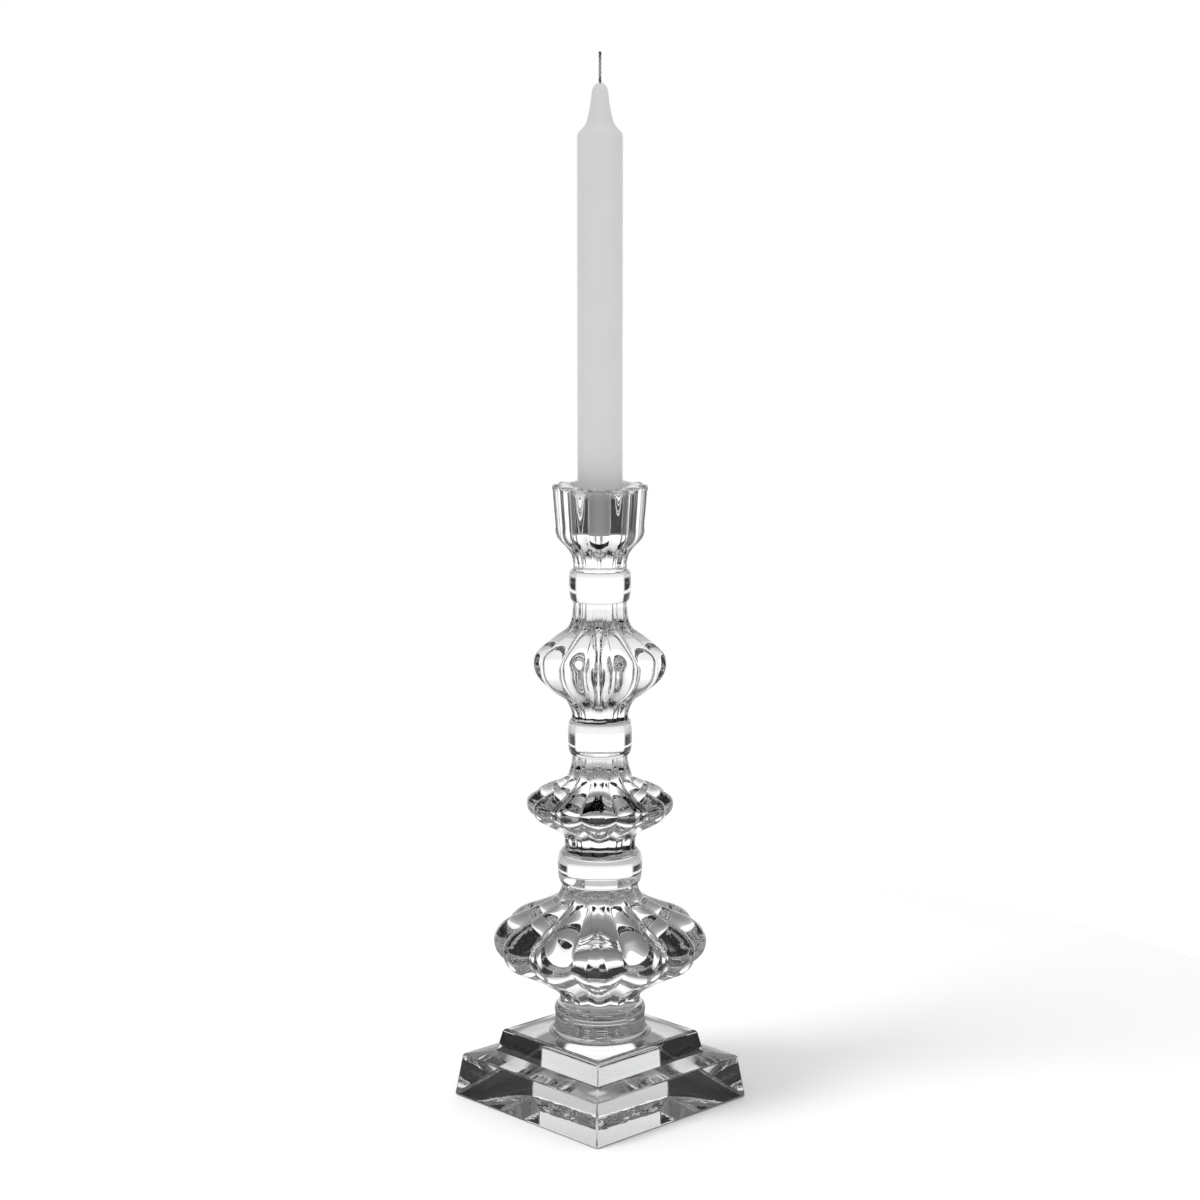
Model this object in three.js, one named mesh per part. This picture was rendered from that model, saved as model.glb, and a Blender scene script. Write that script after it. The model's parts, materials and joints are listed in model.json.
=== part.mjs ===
// A clear pressed-glass candlestick on a stepped square base, with a taper candle in its socket.
// Millimetres, +Z up. The origin is the centre of the base's underside, and the base's sides lie
// along X and Y. The glass sections stand on each other, from the base to the candle cup.

import * as THREE from 'three';

// ---- Driving dimensions ------------------------------------------------------------------

const BASE_SIDE = 104.5;           // lower plinth, across its underside
const BASE_TOP_SIDE = 98.6;        // lower plinth, across its upper edge
const STEP_SIDE = 74.5;            // upper plinth, across its foot
const STEP_TOP_SIDE = 69.6;        // upper plinth, across its top
const CANDLE_DIAMETER = 22;        // a household taper candle
const SOCKET_CLEARANCE = 0.4;      // between the candle and the socket wall
const SOCKET_DEPTH = 23;           // cup rim to socket floor
const MOUTH_RADIUS = 17;           // where the rim starts to slope into the socket
const MOUTH_DEPTH = 3;             // height of that slope
const WICK_DIAMETER = 1.4;
const WICK_HOLE_DIAMETER = 1.5;
const LOBES = 12;                  // gadroons round every fluted section
const NECK_LOBE_DEPTH = 0.045;     // groove depth on a neck, as a share of the radius
const BULB_LOBE_DEPTH = 0.08;      // groove depth at a bulb's widest, as a share of the radius
const CUP_LOBE_DEPTH = 0.04;       // groove depth on the candle cup

// Heights of the joints between the glass sections, from the table up.
const BASE_EDGE_Z = 21.4;          // lower plinth's upper edge
const STEP_Z = 23.4;               // foot of the upper plinth
const STEP_TOP_Z = 34.8;
const COLLAR_TOP_Z = 50;
const LOWER_BULB_TOP_Z = 112.5;
const LOWER_RING_TOP_Z = 129;
const MIDDLE_DISC_TOP_Z = 177.8;
const MIDDLE_RING_TOP_Z = 195.2;
const UPPER_BULB_TOP_Z = 254.8;
const UPPER_RING_TOP_Z = 270.2;
const RIM_Z = 312;
const SOCKET_FLOOR_Z = RIM_Z - SOCKET_DEPTH;
const CANDLE_TIP_Z = 504.3;
const WICK_TOP_Z = 518.8;

// Facets round each kind of piece, and steps along each curve of an outline.
const LOBED_SEGMENTS = 4 * LOBES;
const ROUND_SEGMENTS = 36;
const CANDLE_SEGMENTS = 24;
const WICK_SEGMENTS = 8;
const CURVE_STEPS = 3;

// ---- Materials ---------------------------------------------------------------------------

const clearGlass = new THREE.MeshStandardMaterial({ color: 0xe9eef0, roughness: 0.03, metalness: 0 });
clearGlass.transparent = true;
clearGlass.opacity = 0.35;
const paraffinWax = new THREE.MeshStandardMaterial({ color: 0xdedede, roughness: 0.55, metalness: 0 });
const cottonWick = new THREE.MeshStandardMaterial({ color: 0x8a8784, roughness: 0.95, metalness: 0 });

// ---- Helpers -----------------------------------------------------------------------------

const candlestick = new THREE.Group();

// Adds a finished piece to the candlestick under its own name.
function addPiece(name, geometry, material) {
  const mesh = new THREE.Mesh(geometry, material);
  mesh.name = name;
  candlestick.add(mesh);
}

// Turns an outline, a path of radius and height, about the Z axis.
function turn(outline, segments) {
  const geometry = new THREE.LatheGeometry(outline.getPoints(CURVE_STEPS), segments);
  geometry.rotateX(Math.PI / 2);
  return geometry;
}

// 1 on the crest of a gadroon and 0 in the groove between two. The crests face the base's
// corners, so the grooves fall on the X and Y axes.
function lobeHeight(angle) {
  return Math.abs(Math.sin(angle * LOBES / 2));
}

// Presses the gadroons into a turned piece: depthAt gives the groove's share of the radius.
function pressLobes(geometry, depthAt) {
  const position = geometry.attributes.position;
  for (let i = 0; i < position.count; i += 1) {
    const x = position.getX(i);
    const y = position.getY(i);
    const radius = Math.hypot(x, y);
    const groove = 1 - lobeHeight(Math.atan2(y, x));
    const share = 1 - depthAt(radius, position.getZ(i)) * groove;
    position.setXY(i, x * share, y * share);
  }
  return geometry;
}

// Groove depth on a section that swells from a neck to a bulb, deepening with the radius.
function bulbDepth(neckRadius, bulbRadius) {
  return (radius) => {
    const swell = THREE.MathUtils.smoothstep(radius, neckRadius, bulbRadius);
    return THREE.MathUtils.lerp(NECK_LOBE_DEPTH, BULB_LOBE_DEPTH, swell);
  };
}

// A square piece with its sides along X and Y: levels are its side length at each height.
function stackSquare(levels) {
  const corners = levels.map(({ side, z }) => new THREE.Vector2(side / Math.SQRT2, z));
  const foot = new THREE.Vector2(0, levels[0].z);
  const top = new THREE.Vector2(0, levels[levels.length - 1].z);
  const geometry = new THREE.LatheGeometry([foot, ...corners, top], 4);
  geometry.rotateX(Math.PI / 2);
  geometry.rotateZ(Math.PI / 4);
  return geometry;
}

// A plain ring: a short glass drum with a rounded edge of its own at each end.
function plainRing(radius, bottomZ, topZ, bottomEdge, topEdge) {
  const outline = new THREE.Path();
  outline.moveTo(0, bottomZ);
  outline.lineTo(radius - bottomEdge.inset, bottomZ);
  outline.quadraticCurveTo(radius, bottomZ, radius, bottomZ + bottomEdge.height);
  outline.lineTo(radius, topZ - topEdge.height);
  outline.quadraticCurveTo(radius, topZ, radius - topEdge.inset, topZ);
  outline.lineTo(0, topZ);
  return turn(outline, ROUND_SEGMENTS);
}

// ---- The stepped base --------------------------------------------------------------------

// The lower plinth has steep sides and a top that falls slightly from the upper plinth's foot.
function makeLowerPlinth() {
  return stackSquare([
    { side: BASE_SIDE, z: 0 },
    { side: BASE_TOP_SIDE, z: BASE_EDGE_Z },
    { side: STEP_SIDE, z: STEP_Z },
  ]);
}

function makeUpperPlinth() {
  return stackSquare([
    { side: STEP_SIDE, z: STEP_Z },
    { side: STEP_TOP_SIDE, z: STEP_TOP_Z },
  ]);
}

// A drum that flares out at its foot to meet the upper plinth and is rounded over at its top.
function makeFootCollar() {
  const footRadius = 28;
  const radius = 23;
  const flareHeight = 3.6;
  const roundingHeight = 4;
  const topRadius = 20.4;
  const outline = new THREE.Path();
  outline.moveTo(0, STEP_TOP_Z);
  outline.lineTo(footRadius, STEP_TOP_Z);
  outline.quadraticCurveTo(radius, STEP_TOP_Z + 0.6, radius, STEP_TOP_Z + flareHeight);
  outline.lineTo(radius, COLLAR_TOP_Z - roundingHeight);
  outline.quadraticCurveTo(radius, COLLAR_TOP_Z, topRadius, COLLAR_TOP_Z);
  outline.lineTo(0, COLLAR_TOP_Z);
  return turn(outline, ROUND_SEGMENTS);
}

// ---- The fluted sections -----------------------------------------------------------------

// The large bulb: a short neck below, a steep shoulder, and a long sweep up to the lower ring.
function makeLowerBulb() {
  const outline = new THREE.Path();
  outline.moveTo(0, COLLAR_TOP_Z);
  outline.lineTo(19.9, COLLAR_TOP_Z);
  outline.lineTo(19.9, 52.5);
  outline.bezierCurveTo(19.9, 60, 38, 68, 45.5, 71.2);
  outline.bezierCurveTo(50, 73.1, 53.2, 77, 53.2, 81.6);
  outline.bezierCurveTo(53.2, 86.8, 49, 91.2, 43.5, 93.4);
  outline.bezierCurveTo(27, 99.2, 18.8, 102, 18.8, LOWER_BULB_TOP_Z);
  outline.lineTo(0, LOWER_BULB_TOP_Z);
  return pressLobes(turn(outline, LOBED_SEGMENTS), bulbDepth(20, 50));
}

// The flat disc: it spreads quickly to a thin rim, then falls back in a long concave sweep.
function makeMiddleDisc() {
  const outline = new THREE.Path();
  outline.moveTo(0, LOWER_RING_TOP_Z);
  outline.lineTo(17.4, LOWER_RING_TOP_Z);
  outline.lineTo(17.4, 133);
  outline.bezierCurveTo(17.4, 139.8, 21, 140, 26, 143.3);
  outline.bezierCurveTo(31, 146.3, 36.4, 147.4, 36.4, 152.8);
  outline.bezierCurveTo(36.4, 155.8, 33.5, 157, 28.7, 159.2);
  outline.bezierCurveTo(19.6, 163, 13.7, 164.5, 13.7, MIDDLE_DISC_TOP_Z);
  outline.lineTo(0, MIDDLE_DISC_TOP_Z);
  return pressLobes(turn(outline, LOBED_SEGMENTS), bulbDepth(14, 34));
}

// The smaller bulb: round at its waist, with necks of nearly the same size above and below.
function makeUpperBulb() {
  const outline = new THREE.Path();
  outline.moveTo(0, MIDDLE_RING_TOP_Z);
  outline.lineTo(13.8, MIDDLE_RING_TOP_Z);
  outline.lineTo(13.8, 197.5);
  outline.bezierCurveTo(13.8, 200.5, 15.7, 205.6, 18.8, 207.5);
  outline.bezierCurveTo(29, 213.9, 32.7, 218, 32.7, 223.6);
  outline.bezierCurveTo(32.7, 228.3, 29.3, 230.4, 22.1, 236.3);
  outline.bezierCurveTo(16.5, 240.9, 13.2, 239.2, 13.2, UPPER_BULB_TOP_Z);
  outline.lineTo(0, UPPER_BULB_TOP_Z);
  return pressLobes(turn(outline, LOBED_SEGMENTS), bulbDepth(14, 31));
}

// The candle cup: a fluted beaker with a blind socket. Only its outside is fluted.
function makeCandleCup() {
  const rimRadius = 23.4;
  const edgeRounding = 1.6;
  const socketRadius = CANDLE_DIAMETER / 2 + SOCKET_CLEARANCE;
  const outline = new THREE.Path();
  outline.moveTo(0, UPPER_RING_TOP_Z);
  outline.lineTo(13, UPPER_RING_TOP_Z);
  outline.lineTo(13, 272.5);
  outline.bezierCurveTo(13, 277.5, 14.6, 279.4, 17, 282.2);
  outline.bezierCurveTo(19.4, 284.8, 21.1, 285.8, 21.5, 290);
  outline.lineTo(rimRadius, RIM_Z - edgeRounding);
  outline.quadraticCurveTo(rimRadius, RIM_Z, rimRadius - edgeRounding, RIM_Z);
  outline.lineTo(MOUTH_RADIUS, RIM_Z);
  outline.quadraticCurveTo(socketRadius + 0.8, RIM_Z - 1, socketRadius, RIM_Z - MOUTH_DEPTH);
  outline.lineTo(socketRadius, SOCKET_FLOOR_Z);
  outline.lineTo(0, SOCKET_FLOOR_Z);
  const insideRadius = MOUTH_RADIUS + 0.1;
  const depthAt = (radius, z) => (radius > insideRadius || z < SOCKET_FLOOR_Z - 1 ? CUP_LOBE_DEPTH : 0);
  return pressLobes(turn(outline, LOBED_SEGMENTS), depthAt);
}

// ---- The candle --------------------------------------------------------------------------

// A straight wax body with a moulded shoulder, a slim nose and a hole for the wick.
function makeCandle() {
  const radius = CANDLE_DIAMETER / 2;
  const hole = WICK_HOLE_DIAMETER / 2;
  const outline = new THREE.Path();
  outline.moveTo(hole, SOCKET_FLOOR_Z);
  outline.lineTo(radius, SOCKET_FLOOR_Z);
  outline.lineTo(radius, 478.5);
  outline.bezierCurveTo(radius, 482.6, 7.6, 482.2, 6.2, 487);
  outline.bezierCurveTo(5, 491.5, 4.6, 495, 3.9, 500);
  outline.bezierCurveTo(3.5, 502.6, 2.6, 503.8, hole, CANDLE_TIP_Z);
  outline.lineTo(hole, SOCKET_FLOOR_Z);
  return turn(outline, CANDLE_SEGMENTS);
}

// The wick runs the candle's whole length and stands out of its tip.
function makeWick() {
  const length = WICK_TOP_Z - SOCKET_FLOOR_Z;
  const geometry = new THREE.CylinderGeometry(
    WICK_DIAMETER / 2, WICK_DIAMETER / 2, length, WICK_SEGMENTS, 1);
  geometry.rotateX(Math.PI / 2);
  geometry.translate(0, 0, SOCKET_FLOOR_Z + length / 2);
  return geometry;
}

// ---- The whole candlestick ---------------------------------------------------------------

addPiece('lower_plinth', makeLowerPlinth(), clearGlass);
addPiece('upper_plinth', makeUpperPlinth(), clearGlass);
addPiece('foot_collar', makeFootCollar(), clearGlass);
addPiece('lower_bulb', makeLowerBulb(), clearGlass);
addPiece('lower_ring', plainRing(21.1, LOWER_BULB_TOP_Z, LOWER_RING_TOP_Z,
  { inset: 2, height: 4.4 }, { inset: 2.8, height: 4.4 }), clearGlass);
addPiece('middle_disc', makeMiddleDisc(), clearGlass);
addPiece('middle_ring', plainRing(15.9, MIDDLE_DISC_TOP_Z, MIDDLE_RING_TOP_Z,
  { inset: 1.8, height: 2.8 }, { inset: 1.6, height: 2.4 }), clearGlass);
addPiece('upper_bulb', makeUpperBulb(), clearGlass);
addPiece('upper_ring', plainRing(15.3, UPPER_BULB_TOP_Z, UPPER_RING_TOP_Z,
  { inset: 1.7, height: 2.8 }, { inset: 1.7, height: 2.4 }), clearGlass);
addPiece('candle_cup', makeCandleCup(), clearGlass);
addPiece('candle', makeCandle(), paraffinWax);
addPiece('wick', makeWick(), cottonWick);

export default candlestick;
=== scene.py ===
# %% [markdown]
# # A pressed-glass candlestick with its candle
# The candlestick stands on a stepped square base. Fluted sections alternate with plain rings up to
# a fluted cup, and a white taper candle stands in the cup. The frame gives the place and size of
# every piece, so each new mesh is built where its frame piece stands.

# %% Load the frame
import json
import math

import bpy
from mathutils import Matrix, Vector

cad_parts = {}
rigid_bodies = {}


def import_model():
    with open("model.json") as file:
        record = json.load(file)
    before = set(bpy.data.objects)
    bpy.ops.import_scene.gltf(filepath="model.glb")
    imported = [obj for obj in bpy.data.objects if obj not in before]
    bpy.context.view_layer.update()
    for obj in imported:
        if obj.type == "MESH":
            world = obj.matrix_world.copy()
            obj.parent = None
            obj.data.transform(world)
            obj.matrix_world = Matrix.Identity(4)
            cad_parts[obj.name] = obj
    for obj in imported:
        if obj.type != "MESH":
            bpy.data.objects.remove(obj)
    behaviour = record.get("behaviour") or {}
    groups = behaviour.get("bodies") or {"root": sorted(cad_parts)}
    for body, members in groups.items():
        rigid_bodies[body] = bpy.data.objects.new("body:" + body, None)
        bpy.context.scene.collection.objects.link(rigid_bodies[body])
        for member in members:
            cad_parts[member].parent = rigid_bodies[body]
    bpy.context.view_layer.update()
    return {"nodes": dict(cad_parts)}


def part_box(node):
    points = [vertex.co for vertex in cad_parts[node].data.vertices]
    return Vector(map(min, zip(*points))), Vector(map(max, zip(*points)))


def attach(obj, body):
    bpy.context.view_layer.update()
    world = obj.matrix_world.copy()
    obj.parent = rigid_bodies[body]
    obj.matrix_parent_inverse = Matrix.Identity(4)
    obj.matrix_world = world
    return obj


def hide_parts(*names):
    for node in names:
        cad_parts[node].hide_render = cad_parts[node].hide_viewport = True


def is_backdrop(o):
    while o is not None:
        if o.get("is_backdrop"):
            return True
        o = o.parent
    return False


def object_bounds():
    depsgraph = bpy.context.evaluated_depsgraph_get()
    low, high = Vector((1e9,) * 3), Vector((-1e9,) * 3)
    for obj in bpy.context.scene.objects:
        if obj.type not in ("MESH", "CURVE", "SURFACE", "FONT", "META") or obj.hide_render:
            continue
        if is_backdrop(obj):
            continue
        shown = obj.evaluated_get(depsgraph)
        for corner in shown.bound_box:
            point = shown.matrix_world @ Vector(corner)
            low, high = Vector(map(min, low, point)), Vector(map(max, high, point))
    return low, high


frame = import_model()
print("frame pieces:", sorted(frame["nodes"]))

# %% [markdown]
# ## Camera
# A long lens stands well back and a little above the cup, so the base is seen from above and the
# candle almost level. It looks along a diagonal of the base, a degree away from the exact corner.

# %% Make the camera
CAMERA_AZIMUTH = math.radians(46.15)
CAMERA_DISTANCE = 1.290
CAMERA_HEIGHT = 0.480
CAMERA_TILT = math.radians(9.9)
LENS_LENGTH = 80          # millimetres, on a sensor 36 mm wide
SENSOR_WIDTH = 36

camera_data = bpy.data.cameras.new("camera")
camera_data.lens = LENS_LENGTH
camera_data.sensor_width = SENSOR_WIDTH
camera = bpy.data.objects.new("camera", camera_data)
bpy.context.scene.collection.objects.link(camera)
towards_camera = Vector((math.sin(CAMERA_AZIMUTH), -math.cos(CAMERA_AZIMUTH), 0))
camera.location = towards_camera * CAMERA_DISTANCE + Vector((0, 0, CAMERA_HEIGHT))
line_of_sight = -towards_camera * math.cos(CAMERA_TILT) - Vector((0, 0, math.sin(CAMERA_TILT)))
camera.rotation_euler = line_of_sight.to_track_quat("-Z", "Y").to_euler()
bpy.context.scene.camera = camera
print("camera at", [round(v, 3) for v in camera.location])

# %% [markdown]
# ## Small helpers
# Every piece is modelled by the same few moves. An outline is drawn beside the axis, spun into a
# shell, and given its end faces. The helpers keep the selection honest: an operator acts on all
# that is selected, so each one starts by selecting only what it needs.

# %% Helpers for selecting and for leaving edit mode
MM = 0.001
SPIN_STEPS = 288          # 24 facets across each of the twelve gadroons
MERGE_DISTANCE = 1e-7     # metres


def only(piece):
    """Makes this object the only selected and the active one."""
    if bpy.context.mode != "OBJECT":
        bpy.ops.object.mode_set(mode="OBJECT")
    for other in bpy.context.scene.objects:
        other.select_set(False)
    piece.select_set(True)
    bpy.context.view_layer.objects.active = piece
    return piece


def pick(piece, mode, test):
    """Selects the vertices, edges or faces that pass a test, and stays in edit mode."""
    only(piece)
    mesh = piece.data
    bpy.ops.object.mode_set(mode="EDIT")
    bpy.ops.mesh.select_mode(type=mode)
    bpy.ops.mesh.select_all(action="DESELECT")
    bpy.ops.object.mode_set(mode="OBJECT")
    items = {"VERT": mesh.vertices, "EDGE": mesh.edges, "FACE": mesh.polygons}[mode]
    picked = 0
    for item in items:
        item.select = bool(test(item))
        picked += item.select
    bpy.ops.object.mode_set(mode="EDIT")
    return picked


def done(piece):
    """Leaves edit mode."""
    bpy.ops.object.mode_set(mode="OBJECT")
    return piece


def apply_modifier(piece, modifier):
    """Makes a modifier's result the piece's own mesh."""
    only(piece)
    bpy.ops.object.modifier_apply(modifier=modifier.name)


# %% [markdown]
# ## Outlines
# An outline is a list of straight and curved stretches in millimetres, as radius and height. The
# curves are cubic, with two handles each, as a glass cutter's template would be drawn.

# %% Turn an outline into points
def trace(start, *stretches):
    """Points in metres along an outline. A stretch is (end,) or (handle, handle, end, steps)."""
    points = [Vector(start)]
    for stretch in stretches:
        first = points[-1]
        if len(stretch) == 1:
            points.append(Vector(stretch[0]))
            continue
        handle_a, handle_b, end = (Vector(p) for p in stretch[:3])
        steps = stretch[3]
        for i in range(1, steps + 1):
            t = i / steps
            u = 1 - t
            points.append(u ** 3 * first + 3 * u * u * t * handle_a + 3 * u * t * t * handle_b + t ** 3 * end)
    return [p * MM for p in points]


def draw_outline(name, points):
    """Draws the outline as a chain of edges in the XZ plane, one extruded vertex at a time."""
    bpy.ops.object.select_all(action="DESELECT")
    bpy.ops.mesh.primitive_plane_add(size=MM)
    piece = bpy.context.object
    piece.name = piece.data.name = name
    bpy.ops.object.mode_set(mode="EDIT")
    bpy.ops.mesh.select_mode(type="VERT")
    bpy.ops.mesh.select_all(action="SELECT")
    bpy.ops.mesh.merge(type="CENTER")
    bpy.ops.transform.translate(value=(points[0].x, 0, points[0].y))
    for before, after in zip(points, points[1:]):
        step = after - before
        bpy.ops.mesh.extrude_vertices_move(TRANSFORM_OT_translate={"value": (step.x, 0, step.y)})
    return done(piece)


def spin_outline(name, points, steps=SPIN_STEPS):
    """Spins an outline about the stem's axis into a shell of quads."""
    piece = draw_outline(name, points)
    only(piece)
    bpy.ops.object.mode_set(mode="EDIT")
    bpy.ops.mesh.select_all(action="SELECT")
    bpy.ops.mesh.spin(steps=steps, angle=2 * math.pi, center=(0, 0, 0), axis=(0, 0, 1))
    bpy.ops.mesh.select_all(action="SELECT")
    bpy.ops.mesh.remove_doubles(threshold=MERGE_DISTANCE)
    bpy.ops.mesh.normals_make_consistent(inside=False)
    return done(piece)


def foot(node):
    """The height of a frame piece's foot, in millimetres."""
    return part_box(node)[0].z / MM


def top(node):
    """The height of a frame piece's top, in millimetres."""
    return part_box(node)[1].z / MM


# %% [markdown]
# ## Gadroons
# The fluted sections carry twelve gadroons, convex lobes with a narrow rounded groove between two
# neighbours. The mould presses them square to the surface, so a Displace modifier along the
# normals does the same, with a vertex group that says how deep each point goes. The crests face
# the base's corners. A fine ridge is left where the mould's four parts met, at the corners.

# %% Press gadroons into a spun shell
LOBES = 12
GROOVE_ROUNDING = 0.05    # 0 would leave the groove's bottom a sharp crease
NECK_SHARE = 0.08         # groove depth as a share of the radius, on a neck
SEAM_HEIGHT = 0.10        # the mould's ridge, in millimetres
SEAM_WIDTH = math.radians(0.7)    # half its width, as an angle about the axis


def groove(angle):
    """0 on a gadroon's crest and 1 in the groove between two."""
    lobe = math.hypot(math.sin(angle * LOBES / 2), GROOVE_ROUNDING)
    highest = math.hypot(1, GROOVE_ROUNDING)
    return (highest - lobe) / (highest - GROOVE_ROUNDING)


def smooth_share(value, low, high):
    """0 below low and 1 above high, with a smooth passage."""
    t = min(1.0, max(0.0, (value - low) / (high - low)))
    return t * t * (3 - 2 * t)


def swelling(neck_radius, bulb_radius, bulb_share):
    """Groove depth in millimetres for a radius, changing from the neck to the bulb."""
    def depth(radius, height):
        share = NECK_SHARE + (bulb_share - NECK_SHARE) * smooth_share(radius, neck_radius, bulb_radius)
        return share * radius
    return depth


def displace(piece, name, strength, weight_of):
    """Moves the surface along its normals by strength times each vertex's weight."""
    group = piece.vertex_groups.new(name=name)
    for vertex in piece.data.vertices:
        weight = weight_of(vertex.co)
        if weight > 0:
            group.add([vertex.index], weight, "REPLACE")
    modifier = piece.modifiers.new(name, "DISPLACE")
    modifier.strength = strength
    modifier.mid_level = 0
    modifier.vertex_group = name
    apply_modifier(piece, modifier)
    piece.vertex_groups.remove(piece.vertex_groups[name])


def press_gadroons(piece, depth_at):
    """Presses the grooves and the mould's ridges into a fluted section."""
    def depth_of(co):
        radius = math.hypot(co.x, co.y) / MM
        return depth_at(radius, co.z / MM) * groove(math.atan2(co.y, co.x))

    deepest = max(depth_of(v.co) for v in piece.data.vertices)
    displace(piece, "groove", -deepest * MM, lambda co: depth_of(co) / deepest)

    def seam_of(co):
        off_corner = abs(math.atan2(co.y, co.x)) % (math.pi / 2) - math.pi / 4
        grooved = depth_at(math.hypot(co.x, co.y) / MM, co.z / MM) > 0
        return math.exp(-(off_corner / SEAM_WIDTH) ** 2) if grooved else 0

    displace(piece, "seam", SEAM_HEIGHT * MM, seam_of)
    print(piece.name, "grooves", round(deepest, 2), "mm deep")
    return piece


# %% [markdown]
# ## The fluted sections
# Each section is one solid of glass. The outline leaves out the flat ends for now, because a
# neighbour is bonded there and those faces need a finish of their own. Both ends rise straight
# for half a millimetre, so that the gadroons end square to the joint.

# %% Turn the lower bulb
END_STRAIGHT = 0.5

low, high = foot("lower_bulb"), top("lower_bulb")
lower_bulb = spin_outline("lower_bulb_glass", trace(
    (19.9, low), ((19.9, low + 2.5),),
    ((20.4, 58.4), (36.5, 66.2), (45.2, 70.2), 18),
    ((50.2, 72.5), (53.2, 76.7), (53.2, 81.6), 12),
    ((53.2, 86.8), (49, 91.6), (43.5, 94.0), 14),
    ((30.5, 99.7), (18.9, 102.8), (18.8, high - END_STRAIGHT), 20), ((18.8, high),)))
press_gadroons(lower_bulb, swelling(20, 50, 0.095))

# %% Turn the middle disc
low, high = foot("middle_disc"), top("middle_disc")
middle_disc = spin_outline("middle_disc_glass", trace(
    (17.4, low), ((17.4, low + 4),),
    ((17.5, 138.6), (20.8, 139.2), (26, 142.3), 12),
    ((31.6, 145.5), (36.4, 147), (36.4, 152.5), 14),
    ((36.4, 155.9), (33.8, 157.4), (28.7, 159.7), 12),
    ((19.8, 163.3), (13.8, 164.8), (13.7, high - END_STRAIGHT), 20), ((13.7, high),)))
press_gadroons(middle_disc, swelling(14, 34, 0.09))

# %% Turn the upper bulb
low, high = foot("upper_bulb"), top("upper_bulb")
upper_bulb = spin_outline("upper_bulb_glass", trace(
    (13.8, low), ((13.8, low + 2.3),),
    ((14, 200.4), (16.1, 205.1), (19.4, 207.1), 12),
    ((29.7, 213.2), (32.7, 217.6), (32.7, 223.6), 16),
    ((32.7, 228.4), (29.5, 230.7), (22.3, 236.5), 16),
    ((16.6, 241.1), (13.3, 239.6), (13.2, high - END_STRAIGHT), 16), ((13.2, high),)))
press_gadroons(upper_bulb, swelling(14, 31, 0.15))

# %% [markdown]
# ## The candle cup
# The cup's outline goes up the fluted outside, over the fire-polished rim, down the sloping mouth
# and the smooth socket, and in to the axis. Only the outside is pressed with gadroons.

# %% Turn the cup
RIM_RADIUS = 23.4
RIM_ROUNDING = 1.3
MOUTH_RADIUS = 17
SOCKET_RADIUS = 11.4
CUP_SHARE = 0.12          # groove depth as a share of the radius, on the cup
RIM_FADE = 3              # how far past the rim's rounding the grooves reach, in millimetres

low, high = foot("candle_cup"), top("candle_cup")
socket_floor = foot("candle")
candle_cup = spin_outline("candle_cup_glass", trace(
    (13, low), ((13, low + 2.3),),
    ((13.2, 277.3), (14.8, 279.3), (17.3, 282.0), 12),
    ((19.7, 284.5), (21.5, 285.5), (21.8, 290), 10),
    ((22.1, 295), (22.9, 303), (RIM_RADIUS, high - RIM_ROUNDING), 8),
    ((RIM_RADIUS, high - 0.5), (RIM_RADIUS - 0.5, high), (RIM_RADIUS - RIM_ROUNDING, high), 6),
    ((21, high), (18.6, high), (MOUTH_RADIUS, high - 0.1), 4),
    ((14.6, high - 0.5), (12.2, high - 1.6), (SOCKET_RADIUS, high - 3), 8),
    ((SOCKET_RADIUS, 304), (SOCKET_RADIUS, 295), (SOCKET_RADIUS, socket_floor + 1), 6),
    ((SOCKET_RADIUS, socket_floor + 0.4), (11, socket_floor), (10.4, socket_floor), 4),
    ((7, socket_floor), (3, socket_floor), (0, socket_floor), 3)))


def cup_depth(radius, height):
    """Groove depth in millimetres: none inside the cup, and dying out over the rim."""
    if radius <= MOUTH_RADIUS and height >= socket_floor - 0.5:
        return 0
    fade = 1
    if height > high - 1:
        fade = 1 - smooth_share(RIM_RADIUS - radius, RIM_ROUNDING - 0.4, RIM_ROUNDING + RIM_FADE)
    return CUP_SHARE * radius * fade


press_gadroons(candle_cup, cup_depth)

# %% [markdown]
# ## The plain rings and the foot collar
# The rings between the fluted sections are plain drums with a slight belly and fire-polished
# edges. The collar at the bottom flares out in a hollow curve where it runs into the base, and is
# drawn in a little between that flare and the soft bead at its top.

# %% Turn the rings
BELLY = 0.15              # millimetres by which a ring is wider at its middle


def turn_ring(name, node, radius, foot_inset, foot_height, top_inset, top_height):
    """A ring whose edges draw in by the insets over the heights, all in millimetres."""
    low, high = foot(node), top(node)
    shoulder = radius - BELLY
    return spin_outline(name, trace(
        (radius - foot_inset, low),
        ((radius - foot_inset * 0.4, low), (shoulder - BELLY, low + foot_height * 0.4),
         (shoulder, low + foot_height), 12),
        ((radius + BELLY / 3, low + foot_height + 2), (radius + BELLY / 3, high - top_height - 2),
         (shoulder, high - top_height), 14),
        ((shoulder - BELLY, high - top_height * 0.4), (radius - top_inset * 0.4, high),
         (radius - top_inset, high), 12)))


lower_ring = turn_ring("lower_ring_glass", "lower_ring", 21.1, 2.1, 6.0, 3.2, 5.6)
middle_ring = turn_ring("middle_ring_glass", "middle_ring", 15.9, 1.9, 5.0, 1.8, 3.4)
upper_ring = turn_ring("upper_ring_glass", "upper_ring", 15.3, 1.9, 5.0, 1.7, 2.4)
for ring in (lower_ring, middle_ring, upper_ring):
    print(ring.name, "has", len(ring.data.polygons), "faces")

# %% Turn the foot collar
COLLAR_FOOT_RADIUS = 26
COLLAR_RADIUS = 22.8
COLLAR_WAIST = 0.5        # draws the collar in between its flare and the bead at its top
FLARE_HEIGHT = 5.2        # of the hollow curve above the base

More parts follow.
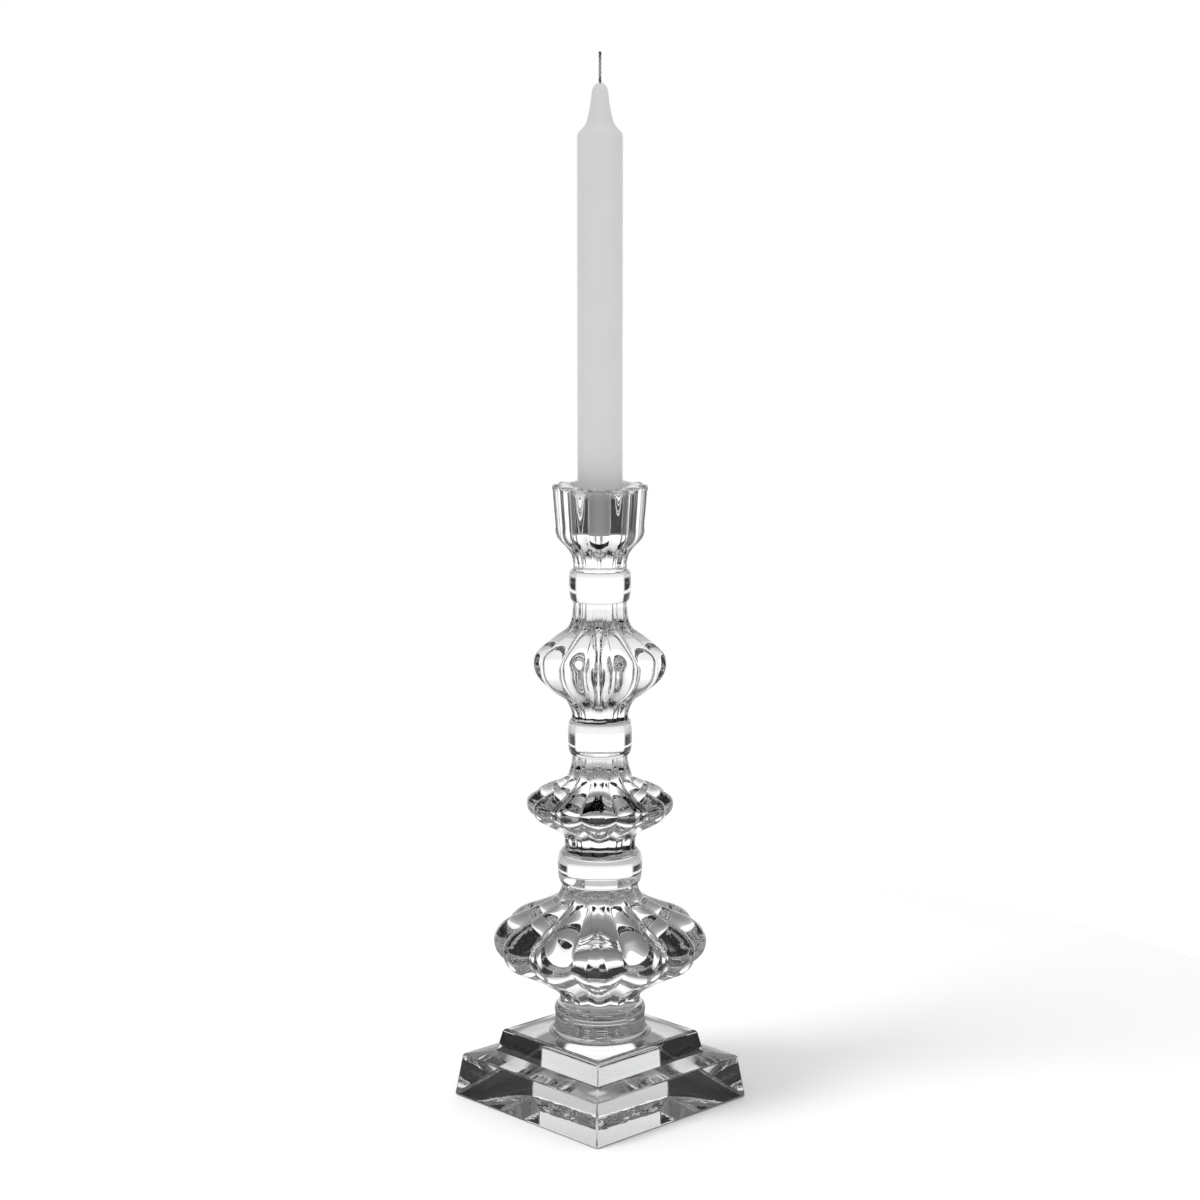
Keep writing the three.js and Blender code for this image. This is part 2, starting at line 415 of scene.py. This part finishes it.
low, high = foot("foot_collar"), top("foot_collar")
foot_collar = spin_outline("foot_collar_glass", trace(
    (COLLAR_FOOT_RADIUS, low),
    ((24.6, low + 0.4), (COLLAR_RADIUS, low + 2.0), (COLLAR_RADIUS, low + FLARE_HEIGHT), 18),
    ((COLLAR_RADIUS - COLLAR_WAIST, low + 8), (COLLAR_RADIUS - COLLAR_WAIST, high - 7),
     (COLLAR_RADIUS, high - 4), 12),
    ((COLLAR_RADIUS, high - 1.6), (COLLAR_RADIUS - 0.9, high), (20.4, high), 10)))
print(foot_collar.name, "has", len(foot_collar.data.polygons), "faces")

# %% [markdown]
# ## The stepped base
# The two plinths start as cubes. Their tops are drawn in and the upright edges rounded, then the
# edges round the top and the foot are rounded as the polished mould leaves them.

# %% Shape the two plinths
CORNER_ROUNDING = 1.0
TOP_ROUNDING = 0.8
STEP_ROUNDING = 1.6       # the upper plinth's top edge is softer
FOOT_ROUNDING = 1.0
ROUNDING_STEPS = 6
LEVEL_TOLERANCE = 0.02    # millimetres within which two heights count as one


def side_of(node, level):
    """A square frame piece's side length at one of its levels, from the frame."""
    corners = [v.co for v in frame["nodes"][node].data.vertices if abs(v.co.z / MM - level) < LEVEL_TOLERANCE]
    return max(abs(co.x) for co in corners) * 2 / MM


def at_level(level):
    """A test for the edges or faces that lie wholly at one height, given in millimetres."""
    return lambda heights: all(abs(z / MM - level) < LEVEL_TOLERANCE for z in heights)


def pick_at(piece, mode, level):
    """Selects the edges or faces at one height, and stays in edit mode."""
    vertices = piece.data.vertices
    test = at_level(level)
    return pick(piece, mode, lambda item: test([vertices[i].co.z for i in item.vertices]))


def start_plinth(name, low, high, foot_side, top_side):
    """A block with its foot and top to size and its four upright edges rounded."""
    bpy.ops.object.select_all(action="DESELECT")
    bpy.ops.mesh.primitive_cube_add(size=1, location=(0, 0, (low + high) / 2 * MM))
    piece = bpy.context.object
    piece.name = piece.data.name = name
    piece.scale = (foot_side * MM, foot_side * MM, (high - low) * MM)
    bpy.ops.object.transform_apply(location=True, rotation=True, scale=True)
    pick_at(piece, "FACE", high)
    share = top_side / foot_side
    bpy.ops.transform.resize(value=(share, share, 1), center_override=(0, 0, high * MM))
    done(piece)
    vertices = piece.data.vertices

    def is_upright(edge):
        one, other = (vertices[i].co.z for i in edge.vertices)
        return abs(one - other) > MM

    pick(piece, "EDGE", is_upright)
    bpy.ops.mesh.bevel(offset=CORNER_ROUNDING * MM, segments=ROUNDING_STEPS, profile=0.5, affect="EDGES")
    return done(piece)


def round_rim(piece, level, width):
    """Rounds the ring of edges at one height."""
    picked = pick_at(piece, "EDGE", level)
    bpy.ops.mesh.bevel(offset=width * MM, segments=ROUNDING_STEPS, profile=0.5, affect="EDGES")
    print(piece.name, "rounded", picked, "edges at", round(level, 1), "mm")
    return done(piece)


def drop_face(piece, level):
    """Deletes the flat face at one height and leaves its edges."""
    pick_at(piece, "FACE", level)
    bpy.ops.mesh.delete(type="ONLY_FACE")
    return done(piece)


# The lower plinth's corners lie at three heights: its foot, its upper edge and its step.
edge_level = sorted({round(v.co.z / MM, 2) for v in frame["nodes"]["lower_plinth"].data.vertices})[1]
step_level = top("lower_plinth")
step_top_level = top("upper_plinth")

lower_plinth = start_plinth("lower_plinth_glass", foot("lower_plinth"), edge_level,
                            side_of("lower_plinth", 0), side_of("lower_plinth", edge_level))
drop_face(lower_plinth, edge_level)
upper_plinth = start_plinth("upper_plinth_glass", step_level, step_top_level,
                            side_of("upper_plinth", step_level), side_of("upper_plinth", step_top_level))
drop_face(upper_plinth, step_level)

# %% [markdown]
# ## Joints between the sections
# The sections are bonded into one clear column, so light must pass a joint as if it were not
# there. A joint face gets a finish that neither bends nor reflects. Both neighbours need the same
# outline there, so the narrower one's end is copied into the wider one, joined to its rim by a
# ring of faces, and filled.

# %% Close the sections with joint faces
glass = bpy.data.materials.new("pressed_clear_glass")
joint = bpy.data.materials.new("index_matched_joint")


def copy_end(source, target, level):
    """Copies the open end at one height from one piece into another."""
    pick_at(source, "EDGE", level)
    bpy.ops.mesh.duplicate()
    bpy.ops.mesh.separate(type="SELECTED")
    done(source)
    loop = next(o for o in bpy.context.selected_objects if o is not source)
    only(target)
    loop.select_set(True)
    bpy.ops.object.join()
    return target


def fill_joint(piece, level, reach=math.inf):
    """Fills an open end, or the part of it within reach of the axis, with a joint face."""
    vertices = piece.data.vertices
    limit = reach * MM

    def on_end(edge):
        ends = [vertices[i].co for i in edge.vertices]
        return all(abs(co.z / MM - level) < LEVEL_TOLERANCE and co.xy.length < limit for co in ends)

    edges = pick(piece, "EDGE", on_end)
    bpy.ops.mesh.edge_face_add()
    piece.active_material_index = 1
    bpy.ops.object.material_slot_assign()
    print(piece.name, "joint of", edges, "edges at", round(level, 1), "mm")
    return done(piece)


def bond(wide, narrow, level, reach):
    """Closes both pieces at a joint. Reach lies between the narrow end and the wide one's rim."""
    copy_end(narrow, wide, level)
    pick_at(wide, "EDGE", level)
    bpy.ops.mesh.bridge_edge_loops()
    done(wide)
    fill_joint(wide, level, reach)
    fill_joint(narrow, level)


sections = [lower_plinth, upper_plinth, foot_collar, lower_bulb, lower_ring, middle_disc,
            middle_ring, upper_bulb, upper_ring, candle_cup]
for section in sections:
    section.data.materials.clear()
    section.data.materials.append(glass)
    section.data.materials.append(joint)

copy_end(upper_plinth, lower_plinth, step_level)
vertices = lower_plinth.data.vertices


def on_either_loop(edge):
    """True for the edges round the lower plinth's upper edge and round its step."""
    heights = [vertices[i].co.z for i in edge.vertices]
    return at_level(edge_level)(heights) or at_level(step_level)(heights)


pick(lower_plinth, "EDGE", on_either_loop)
bpy.ops.mesh.bridge_edge_loops()
done(lower_plinth)
round_rim(lower_plinth, edge_level, TOP_ROUNDING)
round_rim(lower_plinth, 0, FOOT_ROUNDING)
fill_joint(lower_plinth, step_level)
fill_joint(upper_plinth, step_level)

round_rim(upper_plinth, step_top_level, STEP_ROUNDING)
drop_face(upper_plinth, step_top_level)
copy_end(foot_collar, upper_plinth, step_top_level)
pick_at(upper_plinth, "EDGE", step_top_level)
bpy.ops.mesh.fill(use_beauty=True)
done(upper_plinth)
fill_joint(upper_plinth, step_top_level, COLLAR_FOOT_RADIUS + 0.5)
fill_joint(foot_collar, step_top_level)

bond(foot_collar, lower_bulb, top("foot_collar"), 20.1)
bond(lower_ring, lower_bulb, top("lower_bulb"), 18.95)
bond(lower_ring, middle_disc, top("lower_ring"), 17.6)
bond(middle_ring, middle_disc, top("middle_disc"), 13.9)
bond(middle_ring, upper_bulb, top("middle_ring"), 14.0)
bond(upper_ring, upper_bulb, top("upper_bulb"), 13.4)
bond(upper_ring, candle_cup, top("upper_ring"), 13.3)

# %% [markdown]
# ## Smooth glass and sharp joints
# Turned glass shades smoothly across its facets and breaks only at a real edge. The plinths'
# large flats keep their own normal, and the narrow roundings take up all the turning.

# %% Shade the glass
SMOOTH_ANGLE = math.radians(45)


def settle(piece):
    """Makes the normals point outwards and shades the piece smoothly up to real edges."""
    only(piece)
    bpy.ops.object.mode_set(mode="EDIT")
    bpy.ops.mesh.select_all(action="SELECT")
    bpy.ops.mesh.normals_make_consistent(inside=False)
    bpy.ops.object.mode_set(mode="OBJECT")
    bpy.ops.object.shade_smooth_by_angle(angle=SMOOTH_ANGLE)


for section in sections:
    settle(section)
for plinth in (lower_plinth, upper_plinth):
    even = plinth.modifiers.new("flat_faces_first", "WEIGHTED_NORMAL")
    even.weight = 100         # the largest faces decide
    even.keep_sharp = True
    apply_modifier(plinth, even)
for section in sections:
    print(section.name, "has", len(section.data.polygons), "faces")

# %% [markdown]
# ## The candle
# A moulded taper candle: a long cylinder with a shoulder drawn up to a point round the wick. Its
# foot edge is slightly rounded from the mould. The wick's bore runs right through it.

# %% Turn the candle
CANDLE_RADIUS = 11
BORE_RADIUS = 0.75
CANDLE_STEPS = 96

low, high = foot("candle"), top("candle")
candle = spin_outline("taper_candle_wax", trace(
    (BORE_RADIUS, low), ((10.3, low),),
    ((10.7, low), (CANDLE_RADIUS, low + 0.3), (CANDLE_RADIUS, low + 0.8), 4),
    ((CANDLE_RADIUS, 350), (CANDLE_RADIUS, 420), (CANDLE_RADIUS, 478.5), 24),
    ((CANDLE_RADIUS, 482.6), (7.6, 482.2), (6.2, 487), 16),
    ((5, 491.5), (4.6, 495), (3.9, 500), 10),
    ((3.5, 502.6), (2.6, 503.8), (BORE_RADIUS, high), 8),
    ((BORE_RADIUS, 440), (BORE_RADIUS, 360), (BORE_RADIUS, low), 6)), CANDLE_STEPS)
settle(candle)
print(candle.name, "is", round(high - low, 1), "mm long")

# %% [markdown]
# ## The wick
# The wick is plied from three cotton strands that twist round one another. Each strand is a small
# ring of vertices, extruded straight up inside the wax and twisted step by step above it.

# %% Ply the wick
STRANDS = 3
STRAND_RADIUS = 0.36
STRAND_OFFSET = 0.33
TWIST_PER_STEP = math.radians(14)
TWIST_RISE = 0.25         # millimetres a step
STRAND_SIDES = 12
HIDDEN_TWIST = 3          # millimetres of twist inside the wax, below its tip
END_INSET = 0.4           # share of the radius by which the cut end is drawn in

low, high = foot("wick"), top("wick")
wax_tip = top("candle")


def lay_strand(index):
    """One strand, from the candle's foot to the wick's end."""
    angle = 2 * math.pi * index / STRANDS
    bpy.ops.object.select_all(action="DESELECT")
    place = (STRAND_OFFSET * math.cos(angle) * MM, STRAND_OFFSET * math.sin(angle) * MM, low * MM)
    bpy.ops.mesh.primitive_circle_add(vertices=STRAND_SIDES, radius=STRAND_RADIUS * MM,
                                      fill_type="NGON", location=place)
    strand = bpy.context.object
    strand.name = strand.data.name = f"wick_strand_{index}"
    bpy.ops.object.transform_apply(location=True, rotation=True, scale=True)
    bpy.ops.object.mode_set(mode="EDIT")
    bpy.ops.mesh.select_all(action="SELECT")
    height = low
    steps = [(wax_tip - HIDDEN_TWIST - low, 0)]
    count = round((high - wax_tip + HIDDEN_TWIST) / TWIST_RISE)
    steps += [((high - wax_tip + HIDDEN_TWIST) / count, TWIST_PER_STEP)] * count
    for rise, turn in steps:
        bpy.ops.mesh.extrude_region_move(TRANSFORM_OT_translate={"value": (0, 0, rise * MM)})
        height += rise
        if turn:
            bpy.ops.transform.rotate(value=turn, orient_axis="Z", center_override=(0, 0, height * MM))
    bpy.ops.mesh.inset(thickness=STRAND_RADIUS * END_INSET * MM)
    return done(strand)


strands = [lay_strand(i) for i in range(STRANDS)]
only(strands[0])
for strand in strands[1:]:
    strand.select_set(True)
bpy.ops.object.join()
wick = bpy.context.object
wick.name = wick.data.name = "plied_cotton_wick"
settle(wick)
print(wick.name, "of", STRANDS, "strands has", len(wick.data.polygons), "faces")

# %% [markdown]
# ## Finishes
# Colours are written as sRGB hex codes and turned into linear light by one function. One small
# helper adds a node with its settings and its links. Patterns read Object coordinates, which are
# metres here, so a noise scale is one over the size of its features.

# %% Helpers for materials
def hex_colour(code):
    """An sRGB hex code as linear red, green, blue and a full alpha."""
    channels = [int(code[i:i + 2], 16) / 255 for i in (1, 3, 5)]
    return (*[c / 12.92 if c <= 0.04045 else ((c + 0.055) / 1.055) ** 2.4 for c in channels], 1)


def add_node(tree, kind, inputs=None, **settings):
    """Adds a node. Inputs maps a socket's name or number to a value or to another node's output."""
    node = tree.nodes.new("ShaderNode" + kind)
    for name, value in settings.items():
        setattr(node, name, value)
    for name, value in (inputs or {}).items():
        if isinstance(value, bpy.types.NodeSocket):
            tree.links.new(value, node.inputs[name])
        else:
            node.inputs[name].default_value = value
    return node


def start_tree(material):
    """Turns on a material's nodes and empties them."""
    material.use_nodes = True
    tree = material.node_tree
    tree.nodes.clear()
    return tree


def finish_tree(tree, shader):
    """Links a shader to the material's output."""
    add_node(tree, "OutputMaterial", {"Surface": shader.outputs[0]})


def math_node(tree, operation, *values):
    """The result of one sum on numbers or sockets."""
    return add_node(tree, "Math", dict(enumerate(values)), operation=operation).outputs[0]


def ramp_node(tree, value, low, high):
    """0 below low and 1 above high, with a smooth passage."""
    return add_node(tree, "MapRange", {"Value": value, "From Min": low, "From Max": high},
                    interpolation_type="SMOOTHSTEP").outputs["Result"]


def blend_node(tree, share, a, b):
    """a where the share is 0 and b where it is 1."""
    return add_node(tree, "Mix", {"Factor": share, "A": a, "B": b}).outputs["Result"]


def levels_node(tree, measure, levels):
    """A value that passes smoothly through the listed (measure, value) pairs."""
    value = levels[0][1]
    for (low, _), (high, level) in zip(levels, levels[1:]):
        value = blend_node(tree, ramp_node(tree, measure, low, high), value, level)
    return value


def noise(tree, place, feature, stretch=(1, 1, 1)):
    """Noise with features of that many millimetres."""
    mapping = add_node(tree, "Mapping", {"Vector": place, "Scale": stretch})
    return add_node(tree, "TexNoise", {"Vector": mapping.outputs["Vector"], "Scale": 1 / (feature * MM),
                                       "Detail": 2.0}).outputs["Fac"]


def bumps(tree, *layers):
    """A normal from stacked bump layers, each (height socket, depth in millimetres)."""
    normal = None
    for height, depth in layers:
        inputs = {"Height": height, "Distance": depth * MM, "Strength": 1.0}
        if normal is not None:
            inputs["Normal"] = normal
        normal = add_node(tree, "Bump", inputs).outputs["Normal"]
    return normal


# %% [markdown]
# ## Glass
# Soda-lime glass, pressed in an iron mould and fire-polished. It is clear and almost colourless.
# Fire polishing leaves the surface glossy, but a mould's skin and uneven cooling leave it faintly
# wavy, which breaks up the straight lines seen through it. A second, finer waviness is the mould's
# own finish.

# %% Make the glass and the joint finish
GLASS_INDEX = 1.52
GLASS_WAVES = ((14, 0.035), (3.5, 0.004))    # (width, height) in millimetres
FACE_BELLY = 200          # radius of a plinth face's bulge from foot to top, in millimetres
SIDE_BELLY = 3000         # and along its length


def make_glass(material, face_middle=None):
    """Clear glass. A plinth's faces are also slightly bellied about the height given."""
    tree = start_tree(material)
    place = add_node(tree, "TexCoord").outputs["Object"]
    layers = [(noise(tree, place, width), height) for width, height in GLASS_WAVES]
    if face_middle is not None:
        parts = add_node(tree, "SeparateXYZ", {"Vector": place}).outputs
        rise = math_node(tree, "SUBTRACT", parts["Z"], face_middle * MM)
        squares = [math_node(tree, "MULTIPLY", part, part) for part in (parts["X"], parts["Y"], rise)]
        along = math_node(tree, "DIVIDE", math_node(tree, "ADD", *squares[:2]), -2 * SIDE_BELLY * MM)
        across = math_node(tree, "DIVIDE", squares[2], -2 * FACE_BELLY * MM)
        layers.append((math_node(tree, "ADD", along, across), 1 / MM))
    finish_tree(tree, add_node(tree, "BsdfPrincipled", {
        "Base Color": hex_colour("#fdfefe"), "Roughness": 0.0, "IOR": GLASS_INDEX,
        "Transmission Weight": 1.0, "Normal": bumps(tree, *layers)}))


make_glass(glass)
for plinth, middle in ((lower_plinth, edge_level / 2), (upper_plinth, (step_level + step_top_level) / 2)):
    bellied = bpy.data.materials.new("pressed_clear_" + plinth.name)
    plinth.data.materials[0] = bellied
    make_glass(bellied, middle)
    print(plinth.name, "faces are bellied about", round(middle, 1), "mm")

tree = start_tree(joint)
finish_tree(tree, add_node(tree, "BsdfPrincipled", {
    "Base Color": hex_colour("#ffffff"), "Roughness": 0.0, "IOR": GLASS_INDEX, "Alpha": 0.0}))

# %% [markdown]
# ## Wax and cotton
# The candle is white stearin and paraffin wax. Light sinks a few millimetres into it, and its skin
# has a soft satin sheen with slight unevenness from the mould. The wick is waxed cotton. Its end is
# darker, where it was trimmed and first lit. Its foot, where it leaves the wax, is darker with
# painted shade.

# %% Make the wax
wax = bpy.data.materials.new("moulded_white_wax")
tree = start_tree(wax)
place = add_node(tree, "TexCoord").outputs["Object"]
clouds = noise(tree, place, 9, stretch=(1, 1, 0.35))
tint = add_node(tree, "Mix", {"Factor": clouds, "A": hex_colour("#e9e9e9"), "B": hex_colour("#f1f1f1")},
                data_type="RGBA")
skin = bumps(tree, (noise(tree, place, 12, stretch=(1, 1, 0.3)), 0.05), (noise(tree, place, 0.8), 0.003))
finish_tree(tree, add_node(tree, "BsdfPrincipled", {
    "Base Color": tint.outputs["Result"], "Roughness": 0.42, "IOR": 1.44, "Normal": skin,
    "Subsurface Weight": 0.35, "Subsurface Radius": (1.0, 0.9, 0.8), "Subsurface Scale": 0.003}))

# %% Make the cotton
cotton = bpy.data.materials.new("waxed_cotton")
tree = start_tree(cotton)
place = add_node(tree, "TexCoord").outputs["Object"]
height = add_node(tree, "SeparateXYZ", {"Vector": place}).outputs["Z"]
along = add_node(tree, "MapRange", {"Value": height, "From Min": (wax_tip - 0.5) * MM,
                                    "From Max": top("wick") * MM})
shades = add_node(tree, "ValToRGB", {"Fac": along.outputs["Result"]})
ramp = shades.color_ramp
ramp.elements[0].position = 0.0
# The dark start of the ramp, at the wax, is painted shade round the wick's foot. The dark top is the charred
# end.
ramp.elements[0].color = hex_colour("#4a4744")
ramp.elements[1].position = 1.0
ramp.elements[1].color = hex_colour("#4c4a48")
for position, code in ((0.12, "#6b6866"), (0.28, "#b5b2ae"), (0.72, "#b8b5b0"), (0.88, "#75726f")):
    ramp.elements.new(position).color = hex_colour(code)
fibres = noise(tree, place, 0.25, stretch=(1, 1, 0.3))
speckled = add_node(tree, "Mix", {"Factor": 0.25, "A": shades.outputs["Color"], "B": fibres},
                    data_type="RGBA", blend_type="MULTIPLY")
finish_tree(tree, add_node(tree, "BsdfPrincipled", {
    "Base Color": speckled.outputs["Result"], "Roughness": 0.85, "IOR": 1.5,
    "Normal": bumps(tree, (fibres, 0.04))}))

# %% Give every piece its finish and its body
candle.data.materials.append(wax)
wick.data.materials.append(cotton)

for section in sections:
    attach(section, "candlestick")
    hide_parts(section.name.removesuffix("_glass"))
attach(candle, "taper")
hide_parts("candle")
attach(wick, "taper")
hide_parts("wick")
print("finished pieces:", len(sections) + 2)

# %% [markdown]
# ## Floor
# The candlestick stands on a white sheet. The glass doesn't touch it all over, and the thin layer
# of air makes the underside mirror. The camera and matt things see the white sheet. Reflections
# and rays that the glass bends see a second sheet just above it instead. That one glows, and its
# brightness depends only on the distance from the axis. It stands for the light and shade that the
# glass throws on the floor, which would take very long to trace.

# %% Lay the floor
AIR_GAP = 0.2             # millimetres
FLOOR_RADIUS = 0.42       # metres
SHEET_SIDES = 128


def lay_sheet(name, depth):
    """A round sheet that many millimetres down, with its empty node tree."""
    bpy.ops.object.select_all(action="DESELECT")
    bpy.ops.mesh.primitive_circle_add(vertices=SHEET_SIDES, radius=FLOOR_RADIUS, fill_type="NGON",
                                      location=(0, 0, -depth * MM))
    sheet = bpy.context.object
    sheet.name = sheet.data.name = name
    sheet.data.materials.append(bpy.data.materials.new(name + "_paper"))
    sheet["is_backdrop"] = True
    return sheet, start_tree(sheet.active_material)


white_sheet, tree = lay_sheet("white_sheet", 2 * AIR_GAP)
finish_tree(tree, add_node(tree, "BsdfDiffuse", {"Color": hex_colour("#f4f4f4")}))
white_sheet.visible_transmission = False
white_sheet.visible_glossy = False

# (distance from the axis in millimetres, brightness), painted light and shade. The bright middle is a
# painted pool of the light that the stem pipes straight down.
SHEET_LEVELS = ((16, 1.2), (19, 0.1), (34, 0.1), (38, 0.8), (46, 0.7), (50, 0.2), (64, 0.15), (140, 0.25),
                (400, 0.6))
painted_light_and_shade_sheet, tree = lay_sheet("painted_light_and_shade_sheet", AIR_GAP)
place = add_node(tree, "TexCoord").outputs["Object"]
from_axis = add_node(tree, "VectorMath", {0: place}, operation="LENGTH")
distance = math_node(tree, "DIVIDE", from_axis.outputs["Value"], MM)
# Painted light and shade: the sheet glows by the levels above, though it is no lamp.
finish_tree(tree, add_node(tree, "Emission", {"Color": hex_colour("#ffffff"),
                                              "Strength": levels_node(tree, distance, SHEET_LEVELS)}))
painted_light_and_shade_sheet.visible_camera = False
painted_light_and_shade_sheet.visible_diffuse = False
painted_light_and_shade_sheet.visible_shadow = False
print("sheets:", white_sheet.name, "and", painted_light_and_shade_sheet.name)

# %% [markdown]
# ## Light
# Glass shows its surroundings, so the room is built as a studio builds one for glass. A bright
# screen stands behind. The one in front is bright only well below the horizon, where a
# white floor would be. Both fade towards a dark ceiling. Dark boards beside the screens draw the
# edges and the grooves, and they are darker below the horizon where they stand farthest round. Low
# white strips just under the horizon face the base's four sides, so that the pieces read from
# there too. Only reflections and rays that glass bends see this room. The camera sees a plain
# white backdrop, and matt things are lit by an even white tent.

# %% Set out the room
# Each list has (elevation in degrees, brightness) pairs, from straight down to straight up.
TENT_LEVELS = ((-90, 0.66), (30, 0.66), (45, 1.0))
BACK_LEVELS = ((-90, 0.7), (-30, 0.8), (-15, 0.95), (-12, 1.2), (6, 1.2), (14, 0.9), (24, 0.62),
               (36, 0.4), (46, 0.06), (90, 0.02))
FRONT_LEVELS = ((-90, 1.0), (-14, 1.0), (-10, 0.45), (6, 0.35), (30, 0.2), (46, 0.06), (90, 0.03))
BOARD_LEVELS = ((-90, 0.5), (-30, 0.6), (-14, 0.7), (-11, 0.02), (50, 0.02), (90, 0.02))
WING_LEVELS = ((-90, 0.3), (-30, 0.25), (-14, 0.2), (-11, 0.02), (50, 0.02), (90, 0.02))

# Widths round the room, in degrees to either side of the line of sight, in front and behind.
SCREEN_HALF_WIDTH = 40
SCREEN_EDGE = 8           # of soft edge
WING_START = 68           # where the boards turn darker
WING_EDGE = 6             # of soft edge to either side of that
FRONT_EDGE = 0.3          # cosine by which the back has wholly turned into the front

# The low white strips.
BASE_SIDES = 4
STRIP_HALF_WIDTH = 31     # degrees to either side of the middle of a side
STRIP_END = 35            # degrees at which a strip has faded out
STRIP_FOOT = (-5, -4)     # elevations between which it fades in
STRIP_TOP = (0, -1)       # and out

# %% Build the surroundings
world = bpy.data.worlds.new("studio")
bpy.context.scene.world = world
world.use_nodes = True
tree = world.node_tree
tree.nodes.clear()


def cosine_of(degrees):
    """The cosine of an angle in degrees."""
    return math.cos(math.radians(degrees))


direction = add_node(tree, "TexCoord").outputs["Generated"]
parts = add_node(tree, "SeparateXYZ", {"Vector": direction})
elevation = math_node(tree, "DEGREES", math_node(tree, "ARCSINE", parts.outputs["Z"]))
azimuth = math_node(tree, "ARCTAN2", parts.outputs["X"], math_node(tree, "MULTIPLY", parts.outputs["Y"], -1))
frontness = math_node(tree, "COSINE", math_node(tree, "SUBTRACT", azimuth, CAMERA_AZIMUTH))
near_line = math_node(tree, "ABSOLUTE", frontness)

front_share = ramp_node(tree, frontness, -FRONT_EDGE, FRONT_EDGE)
back = levels_node(tree, elevation, BACK_LEVELS)
front = levels_node(tree, elevation, FRONT_LEVELS)
screens = blend_node(tree, front_share, back, front)
screen_share = ramp_node(tree, near_line, cosine_of(SCREEN_HALF_WIDTH + SCREEN_EDGE / 2),
                         cosine_of(SCREEN_HALF_WIDTH - SCREEN_EDGE / 2))
board_share = ramp_node(tree, near_line, cosine_of(WING_START + WING_EDGE), cosine_of(WING_START - WING_EDGE))
boards = blend_node(tree, board_share, levels_node(tree, elevation, WING_LEVELS),
                    levels_node(tree, elevation, BOARD_LEVELS))
room = blend_node(tree, screen_share, boards, screens)

four_fold = math_node(tree, "COSINE", math_node(tree, "MULTIPLY", azimuth, BASE_SIDES))
strip_width = ramp_node(tree, four_fold, cosine_of(BASE_SIDES * STRIP_END),
                        cosine_of(BASE_SIDES * STRIP_HALF_WIDTH))
strip_height = math_node(tree, "MULTIPLY", ramp_node(tree, elevation, *STRIP_FOOT),
                         ramp_node(tree, elevation, *STRIP_TOP))
room = math_node(tree, "MAXIMUM", room, math_node(tree, "MULTIPLY", strip_height, strip_width))

ray = add_node(tree, "LightPath")
tent = levels_node(tree, elevation, TENT_LEVELS)
strength = blend_node(tree, ray.outputs["Is Diffuse Ray"], room, tent)
strength = blend_node(tree, ray.outputs["Is Camera Ray"], strength, 1.0)
background = add_node(tree, "Background", {"Color": hex_colour("#ffffff"), "Strength": strength})
add_node(tree, "OutputWorld", {"Surface": background.outputs[0]})
print("the room has", len(tree.nodes), "nodes")

# %% [markdown]
# ## The key lamp
# A soft round lamp high on the left gives the shadow on the sheet. It lights only the sheet, and
# only the glass shades it. The candle doesn't, because its long shadow would be cut off at the
# sheet's edge.

# %% Hang the key lamp
LAMP_AZIMUTH = math.radians(-17)
LAMP_TILT = math.radians(50)
LAMP_DISTANCE = 1.5       # metres
LAMP_SIZE = 0.6           # metres
LAMP_POWER = 11           # watts

lamp_data = bpy.data.lights.new("softbox", "AREA")
lamp_data.shape = "DISK"
lamp_data.size = LAMP_SIZE
lamp_data.energy = LAMP_POWER
lamp = bpy.data.objects.new("softbox", lamp_data)
bpy.context.scene.collection.objects.link(lamp)
lamp_direction = Vector((math.sin(LAMP_AZIMUTH) * math.cos(LAMP_TILT),
                         -math.cos(LAMP_AZIMUTH) * math.cos(LAMP_TILT), math.sin(LAMP_TILT)))
lamp.location = lamp_direction * LAMP_DISTANCE
lamp.rotation_euler = lamp_direction.to_track_quat("Z", "Y").to_euler()
lamp.visible_glossy = False
lamp.visible_transmission = False
lit = bpy.data.collections.new("lit_by_softbox")
lit.objects.link(white_sheet)
lamp.light_linking.receiver_collection = lit
shading = bpy.data.collections.new("shades_the_sheet")
for section in sections:
    shading.objects.link(section)
lamp.light_linking.blocker_collection = shading
print("lamp at", [round(v, 2) for v in lamp.location])

# %% [markdown]
# ## Look
# Light goes through many surfaces before it leaves a solid glass column, so paths are long. The
# Standard view shows colours as they are lit, without a film curve.

# %% Set the look
scene = bpy.context.scene
scene.view_settings.view_transform = "Standard"
scene.cycles.max_bounces = 48
scene.cycles.transmission_bounces = 48
scene.cycles.glossy_bounces = 24
scene.cycles.diffuse_bounces = 4
scene.cycles.transparent_max_bounces = 64
scene.cycles.sample_clamp_indirect = 6
scene.cycles.caustics_refractive = True
scene.cycles.caustics_reflective = True
scene.cycles.use_denoising = True
print("light passes up to", scene.cycles.transmission_bounces, "surfaces")

# %% Write the sizes and finish
low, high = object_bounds()
print("visual box in mm:", [round(1000 * v, 2) for v in (*low, *high)])
